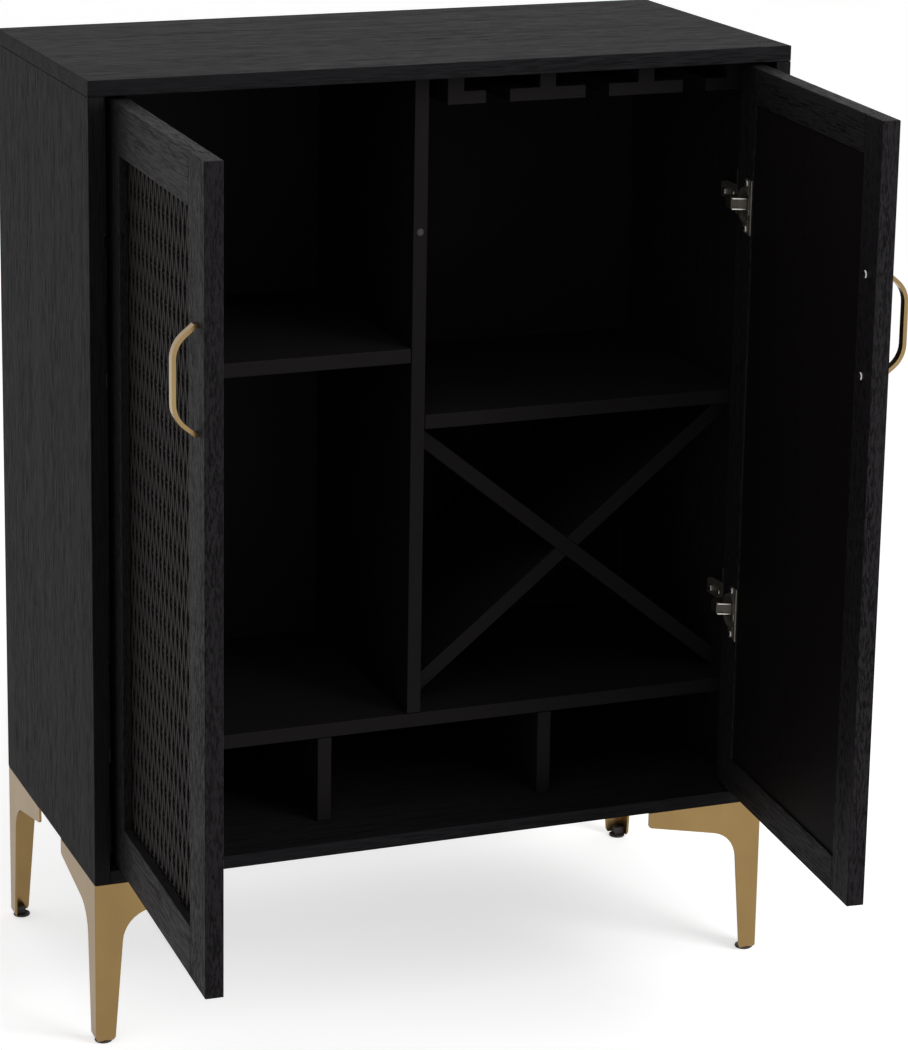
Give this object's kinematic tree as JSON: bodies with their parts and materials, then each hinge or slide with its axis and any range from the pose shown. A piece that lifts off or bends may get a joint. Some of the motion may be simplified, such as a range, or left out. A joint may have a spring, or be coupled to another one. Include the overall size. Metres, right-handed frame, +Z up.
{
  "type": "bar cabinet",
  "caption": "Bar cabinet on folded metal legs, with framed cane doors on concealed hinges, shelves, a crossed wine rack and stemware rails.",
  "frame": {"origin": "on the floor, under the centre of the box round the cabinet with both doors at rest, standing open", "axes": "+Z up, -Y out of the front, +X to the right seen from the front"},
  "size_m": [0.7604, 0.6806, 1],
  "materials": {
    "outer_veneer": "black stained open-grain veneer, satin",
    "inner_veneer": "black laminate, satin",
    "panel_veneer": "black stained veneer, satin",
    "cane": "black lacquered woven cane",
    "leg_metal": "champagne gold, satin",
    "handle_metal": "champagne gold, satin",
    "hinge_steel": "nickel plated",
    "screw_steel": "zinc plated",
    "foot_pad": "dark plastic glide"
  },
  "bodies": {
    "cabinet": {"back_board": "panel_veneer", "bottom_board": "outer_veneer", "divider": "inner_veneer", "front_left_foot_pad": "foot_pad", "front_left_leg": "leg_metal", "front_right_foot_pad": "foot_pad", "front_right_leg": "leg_metal", "left_cubby_divider": "inner_veneer", "left_door_lower_hinge_arm": "hinge_steel", "left_door_lower_hinge_plate": "hinge_steel", "left_door_upper_hinge_arm": "hinge_steel", "left_door_upper_hinge_plate": "hinge_steel", "left_shelf": "inner_veneer", "left_side": "outer_veneer", "long_shelf": "inner_veneer", "rear_left_foot_pad": "foot_pad", "rear_left_leg": "leg_metal", "rear_right_foot_pad": "foot_pad", "rear_right_leg": "leg_metal", "right_cubby_divider": "inner_veneer", "right_door_lower_hinge_arm": "hinge_steel", "right_door_lower_hinge_plate": "hinge_steel", "right_door_upper_hinge_arm": "hinge_steel", "right_door_upper_hinge_plate": "hinge_steel", "right_shelf": "inner_veneer", "right_side": "outer_veneer", "stemware_rail_left": "inner_veneer", "stemware_rail_middle_left": "inner_veneer", "stemware_rail_middle_right": "inner_veneer", "stemware_rail_right": "inner_veneer", "top_board": "outer_veneer", "wine_cross_falling": "inner_veneer", "wine_cross_rising": "inner_veneer"},
    "left_door": {"left_door_back_panel": "panel_veneer", "left_door_bottom_rail": "outer_veneer", "left_door_cane_panel": "cane", "left_door_free_stile": "outer_veneer", "left_door_handle": "handle_metal", "left_door_handle_screw_lower": "screw_steel", "left_door_handle_screw_upper": "screw_steel", "left_door_hinge_stile": "outer_veneer", "left_door_lower_hinge_cup": "hinge_steel", "left_door_lower_hinge_pin": "hinge_steel", "left_door_top_rail": "outer_veneer", "left_door_upper_hinge_cup": "hinge_steel", "left_door_upper_hinge_pin": "hinge_steel"},
    "right_door": {"right_door_back_panel": "panel_veneer", "right_door_bottom_rail": "outer_veneer", "right_door_cane_panel": "cane", "right_door_free_stile": "outer_veneer", "right_door_handle": "handle_metal", "right_door_handle_screw_lower": "screw_steel", "right_door_handle_screw_upper": "screw_steel", "right_door_hinge_stile": "outer_veneer", "right_door_lower_hinge_cup": "hinge_steel", "right_door_lower_hinge_pin": "hinge_steel", "right_door_top_rail": "outer_veneer", "right_door_upper_hinge_cup": "hinge_steel", "right_door_upper_hinge_pin": "hinge_steel"}
  },
  "joints": [
    {"name": "left_door_hinge", "type": "hinge", "parent": "cabinet", "child": "left_door", "pos_m": [-0.33419, -0.00267, 0.5865], "axis": [0, 0, -1], "range_deg": [-91.8, 9.8]},
    {"name": "right_door_hinge", "type": "hinge", "parent": "cabinet", "child": "right_door", "pos_m": [0.34461, -0.00267, 0.5865], "axis": [0, 0, 1], "range_deg": [-85.2, 16.4]}
  ]
}
